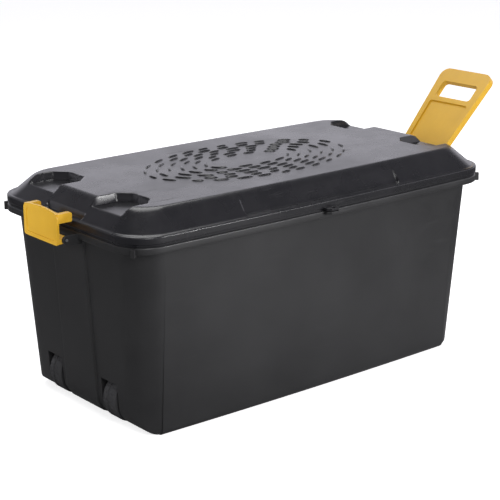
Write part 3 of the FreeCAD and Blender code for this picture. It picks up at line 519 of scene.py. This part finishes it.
x, y = plan_rings(rows[:, 0], rows[:, 2], lid_end, lid_side, 26, 22)
flat = rows[:, 1][:, None] + np.zeros_like(x)
reach = np.repeat(rows[:, 0][:, None], x.shape[1], 1)
made = rows[:, 3][:, None]
top = lid_height(x, y, reach, 0.0)
under = lid_height(x, y, reach - WALL / 2, WALL) - WALL
z = np.where(made == MADE_TOP, top, np.where(made == MADE_UNDER, under, flat))
lid_shell = add_solid("lid_shell", np.stack([x, y, z], -1).reshape(-1, 3), grid_faces(*x.shape), 50)
LID = plastic("lid_black_plastic", (0.009, 0.009, 0.0105), (0.013, 0.0125, 0.0145), 0.27, 0.03)
dress(lid_shell, LID, "lid")
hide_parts("lid")

# ---- Deck tread ----
# Short raised bars moulded into the deck in rings about a plain middle, so that it can be sat or stepped on.
# They are in the lid's own plastic, and the length and place of each one vary a little.
TREAD_FIRST, TREAD_STEP, TREAD_RINGS = (108.0, 50.0), (29.0, 18.0), 6
TREAD_X, TREAD_Y = 10, 4
BAR_LENGTH, BAR_PITCH, BAR_HALF, BAR_RISE = 34.0, 50.0, 3.0, 2.6


def tread_bars(random):
    """Bars along ellipses (a cos u, b sin u): a cross-section of seven points carried along each one, with
    width and height falling to nothing at both ends as sqrt(1 - s^4)."""
    section = np.array([(-1, -0.2), (-0.85, 0.6), (-0.4, 1), (0.4, 1), (0.85, 0.6), (1, -0.2), (0, -0.4)])
    along = np.linspace(-1, 1, 7)
    swell = np.sqrt(1 - along ** 4)
    turn = np.linspace(0, 2 * math.pi, 721)
    pieces = []
    for ring in range(TREAD_RINGS):
        wide, deep = TREAD_FIRST[0] + ring * TREAD_STEP[0], TREAD_FIRST[1] + ring * TREAD_STEP[1]
        stretches = np.hypot(np.diff(wide * np.cos(turn)), np.diff(deep * np.sin(turn)))
        length = np.concatenate([[0], np.cumsum(stretches)])
        count = int(round(length[-1] / BAR_PITCH))
        middles = (np.arange(count) + random.uniform(0, 1) + random.uniform(-0.12, 0.12, count)) / count
        span = BAR_LENGTH * random.uniform(0.75, 1.15, count) / length[-1]
        where = (middles[:, None] + span[:, None] * along[None, :] / 2) % 1.0
        angle = np.interp(where * length[-1], length, turn)
        normal = np.stack([deep * np.cos(angle), wide * np.sin(angle)], -1)
        normal = normal / np.linalg.norm(normal, axis=-1, keepdims=True)
        centre = np.stack([wide * np.cos(angle) - TREAD_X, deep * np.sin(angle) - TREAD_Y], -1)
        offset = section[:, 0] * BAR_HALF * swell[:, None]
        level = DECK_Z + section[:, 1] * BAR_RISE * swell[:, None]
        plan = centre[:, :, None, :] + normal[:, :, None, :] * offset[None, :, :, None]
        level = np.broadcast_to(level[None, :, :, None], (*plan.shape[:3], 1))
        pieces.append(np.concatenate([plan, level], -1))
    bars = np.concatenate(pieces)
    faces = grid_faces(len(along), len(section))
    points_each = len(along) * len(section)
    every = (faces[None] + np.arange(len(bars))[:, None, None] * points_each).reshape(-1, 4)
    return bars.reshape(-1, 3), every


tread = add_solid("lid_tread", *tread_bars(np.random.default_rng(7)), 60)
dress(tread, LID, "lid")

# ---- Latch catch, lid knuckles and lock tab ----
# The catch is a stout lip on the skirt that the latch's hook bar closes over. The knuckles sit between the
# tub's on the hinge pins, and the tab lies over the tub's so that one padlock goes through both.
CATCH_ROOT, CATCH_SIDE, CATCH_OUT, CATCH_HALF, CATCH_TRIM = -485.5, -500.5, -502.7, 50.5, 2.5
CATCH_LOW, CATCH_TOP, LID_TAB_LOW = 424.3, 430.1, 410.7
near_side = [(CATCH_ROOT, -CATCH_HALF), (CATCH_SIDE, -CATCH_HALF), (CATCH_OUT, CATCH_TRIM - CATCH_HALF)]
catch_plan = near_side + [(across, -along) for across, along in reversed(near_side)]
catch = add_prism("latch_catch", catch_plan, "z", CATCH_LOW, CATCH_TOP)
dress(soften(catch, 1.2), LID, "lid")
foot_low = RIM_TOP + 1.4
lid_foot = np.concatenate([[(rim_edge - 2, foot_low), (rim_edge - 2, HINGE_Z + KNUCKLE)],
                           arc_points((HINGE_Y, HINGE_Z), KNUCKLE, 90, -180, 20), [(rim_edge, foot_low)]])
for hinge, word in ((-1, "left"), (1, "right")):
    knuckle("lid_knuckle_" + word, hinge * HINGE_X - LID_KNUCKLE_LENGTH / 2, LID_KNUCKLE_LENGTH, lid_foot,
            LID, "lid")
lock_tab("lid_lock_tab", LID_TAB_LOW, LID, "lid")

# ---- Latch ----
# A broad over-centre latch in yellow plastic: an arched grip plate with a sunk middle, a web to the barrel
# on its pin, and two arms with a bar between them that hooks over the catch.
PLATE_OUT, PLATE_IN, PLATE_LOW, PLATE_SIDE, PLATE_TOP = -532.0, -527.0, 387.0, 450.0, 456.0
ARM_FOOT, ARM_TIP, ARM_LOW, ARM_TOP, ARM_WIDE, HOOK = -529.5, -497.0, 431.5, 450.5, 11.0, 6.0
SUNK_HALF, SUNK_LOW, SUNK_SIDE, SUNK_TOP, SUNK_DEEP = 52.0, 395.0, 443.0, 446.5, 1.3
LATCH_BARREL, LATCH_PLAY = 7.0, 0.1


def rounded_outline(corners, steps=6):
    """Polygon whose corners, given as (u, v, radius), are rounded by arcs touching both sides."""
    corners = [np.array(corner, float) for corner in corners]
    result = []
    for index, corner in enumerate(corners):
        before = corners[index - 1][:2] - corner[:2]
        after = corners[(index + 1) % len(corners)][:2] - corner[:2]
        before, after = before / np.linalg.norm(before), after / np.linalg.norm(after)
        half = math.acos(float(np.clip(before @ after, -1, 1))) / 2
        if corner[2] <= 0:
            result.append(corner[:2])
            continue
        middle = corner[:2] + (before + after) / np.linalg.norm(before + after) * corner[2] / math.sin(half)
        first = corner[:2] + before * corner[2] / math.tan(half) - middle
        last = corner[:2] + after * corner[2] / math.tan(half) - middle
        start, stop = math.atan2(first[1], first[0]), math.atan2(last[1], last[0])
        sweep = (stop - start + math.pi) % (2 * math.pi) - math.pi
        angles = start + sweep * np.linspace(0, 1, steps + 1)
        result += [middle + corner[2] * np.array([math.cos(a), math.sin(a)]) for a in angles]
    return np.array(result)


def mirrored(half):
    """Corners of an outline given for u above 0 from one end to the other, and again with u turned round."""
    return half + [(-u, v, radius) for u, v, radius in reversed(half)]


plate_half = [(LATCH_HALF, PLATE_LOW, 7), (LATCH_HALF, PLATE_SIDE, 10), (37, 454.2, 40), (12, PLATE_TOP, 60)]
plate_outline = rounded_outline(mirrored(plate_half))
latch_body = add_prism("latch_body", plate_outline, "x", PLATE_OUT, PLATE_IN)
web_outline = np.concatenate([[(PLATE_IN - 2, LATCH_Z), (PLATE_IN - 2, LATCH_Z - LATCH_BARREL)],
                              arc_points((LATCH_X, LATCH_Z), LATCH_BARREL, -90, 90, 14)])
web_half = LATCH_HALF - LATCH_PLAY
arm_outline = rounded_outline([(ARM_FOOT, ARM_LOW, 0), (ARM_TIP, ARM_LOW, 3), (ARM_TIP, ARM_TOP, 4),
                               (ARM_FOOT, ARM_TOP, 0)])
hook_outline = [(ARM_TIP - HOOK, ARM_LOW), (ARM_TIP, ARM_LOW), (ARM_TIP, ARM_LOW + HOOK),
                (ARM_TIP - HOOK, ARM_LOW + HOOK)]
tools = [add_prism("web", web_outline, "y", -web_half, web_half)]
for arm_side in (-LATCH_HALF, LATCH_HALF - ARM_WIDE):
    tools.append(add_prism("arm", arm_outline, "y", arm_side, arm_side + ARM_WIDE))
tools += [add_prism("hook", hook_outline, "y", -55, 55)]
combine(latch_body, "UNION", *tools)
sunk = rounded_outline(mirrored([(SUNK_HALF, SUNK_LOW, 5), (SUNK_HALF, SUNK_SIDE, 7), (30, SUNK_TOP, 30)]))
sunk_middle = add_prism("sunk", sunk, "x", PLATE_OUT - 5, PLATE_OUT + SUNK_DEEP)
bore = add_prism("bore", circle_points((LATCH_X, LATCH_Z), LATCH_PIN + PIN_GAP), "y", -70, 70)
combine(latch_body, "DIFFERENCE", sunk_middle, bore)
soften(latch_body, 1.1)
YELLOW = plastic("yellow_plastic", (0.60, 0.33, 0.014), (0.72, 0.42, 0.028), 0.36, 0.03)
dress(latch_body, YELLOW, "latch")
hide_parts("latch")

# ---- Tow handle ----
# A flat yellow plastic handle that widens to a rounded grip, with a slot for the hand and a sunk panel below
# it. A barrel at its foot turns on a steel pin between the tub's cheeks.
LEAN, THICK, TOW_LENGTH, GRIP_HALF = math.radians(44.0), 15.0, 257.0, 80.0
SLOT_LOW, SLOT_TOP, SLOT_ROUND = 174.0, 220.0, 9.0
PANEL_LOW, PANEL_TOP, PANEL_WIDE, PANEL_SUNK, BACK_SUNK = 54.5, 161.0, 60.5, 4.0, 0.8


def lean_out(piece):
    """Leans an upright piece about the tow pin: x = x0 + t cos a + u sin a, z = z0 - t sin a + u cos a."""
    turned = Matrix.Translation((TOW_X * MM, 0, TOW_Z * MM)) @ Matrix.Rotation(LEAN, 4, "Y")
    piece.data.transform(turned)


blade_half = [(TOW_HALF, 0, 0), (TOW_HALF, 18, 14), (69, 48, 40), (GRIP_HALF, 233, 60),
              (GRIP_HALF, TOW_LENGTH, 22)]
tow_body = add_prism("tow_body", rounded_outline(mirrored(blade_half)), "x", -THICK / 2, THICK / 2)
combine(tow_body, "UNION", add_prism("barrel", circle_points((0, 0), 8), "y", -TOW_HALF, TOW_HALF))
slot_half = [(TOW_HALF, SLOT_LOW, SLOT_ROUND), (TOW_HALF, SLOT_TOP, SLOT_ROUND)]
slot_outline = rounded_outline(mirrored(slot_half), 8)
panel_outline = rounded_outline(mirrored([(TOW_HALF, PANEL_LOW, 6), (PANEL_WIDE, PANEL_TOP, 6)]))
combine(tow_body, "DIFFERENCE", add_prism("slot", slot_outline, "x", -20, 20),
        add_prism("panel", panel_outline, "x", -20, PANEL_SUNK - THICK / 2),
        add_prism("back_panel", panel_outline, "x", THICK / 2 - BACK_SUNK, 20),
        add_prism("bore", circle_points((0, 0), TOW_PIN + PIN_GAP), "y", -70, 70))
lean_out(soften(tow_body, 4.2, 5))
dress(tow_body, YELLOW, "tow_handle")
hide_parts("tow_handle")

# ---- Wheels ----
# Two hard plastic wheels, each a tread ring on a thin web with a long hub, stiffened by eight ribs.
# They turn on headed steel axles inside their housings.
WHEEL_RADIUS, WHEEL_HALF, HUB_RADIUS, HUB_HALF, BORE = 50.0, 22.0, 13.0, 27.0, 4.05
WEB_HALF, BAND_INNER, GROOVES, GROOVE_DEEP, RIBS, RIB_HALF = 3.0, 38.0, 20, 1.3, 8, 1.3


def wheel_surface():
    """Profile of radius and side turned about the axle: y = side, x = r cos u, z = r sin u. The tread band's
    radius dips by 1.3 mm in 20 cross grooves."""
    half = [(BORE, 0), (BORE, HUB_HALF - 0.6), (BORE + 0.6, HUB_HALF), (HUB_RADIUS - 1, HUB_HALF),
            (HUB_RADIUS, HUB_HALF - 1), (HUB_RADIUS, WEB_HALF + 1.2), (HUB_RADIUS + 1.2, WEB_HALF),
            (36.6, WEB_HALF), (BAND_INNER, WEB_HALF + 1.2), (BAND_INNER, WHEEL_HALF - 0.8),
            (38.8, WHEEL_HALF), (45.6, WHEEL_HALF), (47.2, WHEEL_HALF - 0.6), (49.2, WHEEL_HALF - 4),
            (WHEEL_RADIUS, WHEEL_HALF - 6.4), (WHEEL_RADIUS, 4.6), (WHEEL_RADIUS - 1.6, 4.0),
            (WHEEL_RADIUS - 1.6, 0)]
    section = np.array(half + [(radius, -side) for radius, side in half[-2:0:-1]])
    turn = np.radians(np.arange(0, 360, 2.25))[None, :]
    tread = (section[:, :1] > 49.5) & (np.abs(section[:, 1:]) > 4.3)
    radius = section[:, :1] - GROOVE_DEEP * tread * (np.cos(GROOVES * turn) > 0.75)
    points = np.stack([radius * np.cos(turn), section[:, 1:] + 0 * turn, radius * np.sin(turn)], -1)
    rows, columns = radius.shape
    points = np.concatenate([points, points[:1]])
    return points.reshape(-1, 3), grid_faces(rows + 1, columns)


WHEEL = plastic("wheel_plastic", (0.02, 0.02, 0.021), (0.034, 0.034, 0.035), 0.55, 0.08, 0.0001)
rib_start, rib_stop = HUB_RADIUS - 0.6, BAND_INNER + 0.4
rib_outline = [(rib_start, 2.5), (rib_stop, 2.5), (rib_stop, 13.0), (rib_start, 19.0)]
for name, side in (("wheel_front", -1), ("wheel_back", 1)):
    place = np.array([AXLE_X, side * WHEEL_Y, AXLE_Z])
    points, faces = wheel_surface()
    wheel = add_solid(name + "_tyre", points + place, faces)
    rib_parts, rib_faces = [], []
    for number in range(RIBS):
        for face in (-1, 1):
            part, quads = prism_points(rib_outline, "y", -RIB_HALF, RIB_HALF)
            turn = 2 * math.pi * number / RIBS
            spun = np.stack([part[:, 0] * math.cos(turn) - part[:, 1] * math.sin(turn), part[:, 2] * face,
                             part[:, 0] * math.sin(turn) + part[:, 1] * math.cos(turn)], 1)
            rib_faces += [[i + 8 * len(rib_parts) for i in quad] for quad in quads]
            rib_parts.append(spun + place)
    ribs = soften(add_solid(name + "_ribs", np.concatenate(rib_parts), rib_faces), 0.4, 2)
    dress(wheel, WHEEL, name)
    dress(ribs, WHEEL, name)
    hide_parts(name)

# ---- Pins, axles and push nuts ----
# Plain steel with a bright zinc coat: turned pins and headed axles, and sprung nuts pushed on the axles'
# plain ends. They keep the frame's own shapes, and the coat is faintly uneven.
STEEL = bpy.data.materials.new("zinc_steel")
STEEL.use_nodes = True
nodes, links = STEEL.node_tree.nodes, STEEL.node_tree.links
shader = nodes["Principled BSDF"]
shader.inputs["Metallic"].default_value = 1.0
place = nodes.new("ShaderNodeTexCoord")
lines = nodes.new("ShaderNodeTexNoise")
lines.inputs["Scale"].default_value = 420.0
lines.inputs["Detail"].default_value = 4.0
links.new(place.outputs["Object"], lines.inputs["Vector"])
for socket, low, high in (("Base Color", 0.5, 0.68), ("Roughness", 0.26, 0.42)):
    mapped = nodes.new("ShaderNodeMapRange")
    mapped.inputs["To Min"].default_value = low
    mapped.inputs["To Max"].default_value = high
    links.new(lines.outputs["Fac"], mapped.inputs["Value"])
    links.new(mapped.outputs["Result"], shader.inputs[socket])
for name in ("latch_pin", "tow_handle_pin", "axle_front", "axle_back", "axle_push_nuts", "hinge_pin_left",
             "hinge_pin_right"):
    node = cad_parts[name]
    node.data.materials.clear()
    node.data.materials.append(STEEL)

# ---- Studio ----
# A pale floor, a soft sky and broad lights. In reflections the floor is painted darker, and darkest towards
# the wheel end at -X, which paints shade into the tub's glossy walls. The camera looks at the front and the
# wheel end from a little above the lid.
floor_mesh = bpy.data.meshes.new("floor")
floor_mesh.from_pydata([(-30, -30, 0), (30, -30, 0), (30, 30, 0), (-30, 30, 0)], [], [(0, 1, 2, 3)])
floor_piece = bpy.data.objects.new("floor", floor_mesh)
bpy.context.scene.collection.objects.link(floor_piece)
pale = bpy.data.materials.new("pale_floor")
pale.use_nodes = True
nodes, links = pale.node_tree.nodes, pale.node_tree.links
rays = nodes.new("ShaderNodeLightPath")
floor_and_reflected_shade = nodes.new("ShaderNodeMix")
floor_and_reflected_shade.data_type = "RGBA"
floor_and_reflected_shade.inputs[6].default_value = (0.9, 0.9, 0.9, 1)
ground = nodes.new("ShaderNodeTexCoord")
ground_parts = nodes.new("ShaderNodeSeparateXYZ")
links.new(ground.outputs["Object"], ground_parts.inputs["Vector"])
ground_span = nodes.new("ShaderNodeMapRange")
ground_span.inputs["From Min"].default_value = -2.0
ground_span.inputs["From Max"].default_value = 2.0
links.new(ground_parts.outputs["X"], ground_span.inputs["Value"])
# Painted shade: glossy rays see the floor darker than its own 0.9, darkest on the wheel end's side, so the
# tub's walls reflect a dark floor there.
reflected_shade_ramp = nodes.new("ShaderNodeValToRGB")
reflected_shade_tones = ((0.22, 0.06), (0.38, 0.16), (0.56, 0.55), (0.66, 0.42), (0.78, 0.12))
while len(reflected_shade_ramp.color_ramp.elements) < len(reflected_shade_tones):
    reflected_shade_ramp.color_ramp.elements.new(0.5)
for element, (position, tone) in zip(reflected_shade_ramp.color_ramp.elements, reflected_shade_tones):
    element.position = position
    element.color = (tone, tone, tone, 1)
links.new(ground_span.outputs["Result"], reflected_shade_ramp.inputs["Fac"])
links.new(reflected_shade_ramp.outputs["Color"], floor_and_reflected_shade.inputs[7])
links.new(rays.outputs["Is Glossy Ray"], floor_and_reflected_shade.inputs["Factor"])
links.new(floor_and_reflected_shade.outputs[2], nodes["Principled BSDF"].inputs["Base Color"])
nodes["Principled BSDF"].inputs["Roughness"].default_value = 0.9
nodes["Principled BSDF"].inputs["Emission Color"].default_value = (1, 1, 1, 1)
glow = nodes.new("ShaderNodeMath")
glow.operation = "MULTIPLY"
glow.inputs[1].default_value = 0.7
links.new(rays.outputs["Is Camera Ray"], glow.inputs[0])
links.new(glow.outputs[0], nodes["Principled BSDF"].inputs["Emission Strength"])
floor_mesh.materials.append(pale)

world = bpy.data.worlds.new("soft_sky")
bpy.context.scene.world = world
world.use_nodes = True
nodes, links = world.node_tree.nodes, world.node_tree.links
direction = nodes.new("ShaderNodeTexCoord")
parts = nodes.new("ShaderNodeSeparateXYZ")
links.new(direction.outputs["Generated"], parts.inputs["Vector"])
ramp = nodes.new("ShaderNodeValToRGB")
sky = ((0.0, (0.85, 0.84, 0.92)), (0.3, (1.0, 0.98, 1.08)), (0.44, (0.12, 0.12, 0.14)),
       (1.0, (0.2, 0.2, 0.22)))
while len(ramp.color_ramp.elements) < len(sky):
    ramp.color_ramp.elements.new(0.5)
for element, (position, colour) in zip(ramp.color_ramp.elements, sky):
    element.position = position
    element.color = (*colour, 1)
links.new(parts.outputs["Z"], ramp.inputs["Fac"])
shade = nodes.new("ShaderNodeMapRange")
shade.inputs["From Min"].default_value = -0.9
shade.inputs["From Max"].default_value = 0.1
shade.inputs["To Min"].default_value = 0.35
shade.inputs["To Max"].default_value = 1.25
links.new(parts.outputs["X"], shade.inputs["Value"])
links.new(ramp.outputs["Color"], nodes["Background"].inputs["Color"])
links.new(shade.outputs["Result"], nodes["Background"].inputs["Strength"])


def soft_light(name, place, target, size, power):
    """Square area light of the given size in metres, aimed at a point."""
    data = bpy.data.lights.new(name, "AREA")
    data.size = size
    data.energy = power
    lamp = bpy.data.objects.new(name, data)
    bpy.context.scene.collection.objects.link(lamp)
    lamp.location = place
    lamp.rotation_euler = (Vector(target) - Vector(place)).to_track_quat("-Z", "Y").to_euler()
    return lamp


soft_light("key_light", (-1.3, -3.1, 2.3), (-0.2, 0, 0.25), 1.4, 62)
soft_light("edge_light", (1.3, -2.9, 0.95), (-0.3, -0.26, 0.42), 0.25, 40)
soft_light("side_light", (-3.4, 0.4, 1.2), (-0.5, 0, 0.4), 1.2, 40).visible_glossy = False
soft_light("top_light", (0.5, 1.2, 3.2), (0, 0, 0.4), 2.0, 50)

camera_data = bpy.data.cameras.new("view_camera")
camera_data.lens = 106.7
camera_data.sensor_width = 36.0
camera = bpy.data.objects.new("view_camera", camera_data)
bpy.context.scene.collection.objects.link(camera)
right, up, back = (0.7742, -0.6329, -0.0045), (0.184, 0.2183, 0.9584), (-0.6055, -0.7428, 0.2855)
turned = Matrix((right, up, back)).transposed().to_4x4()
camera.matrix_world = Matrix.Translation((-1.986, -2.436, 1.200)) @ turned
bpy.context.scene.camera = camera
bpy.context.scene.view_settings.view_transform = "Standard"
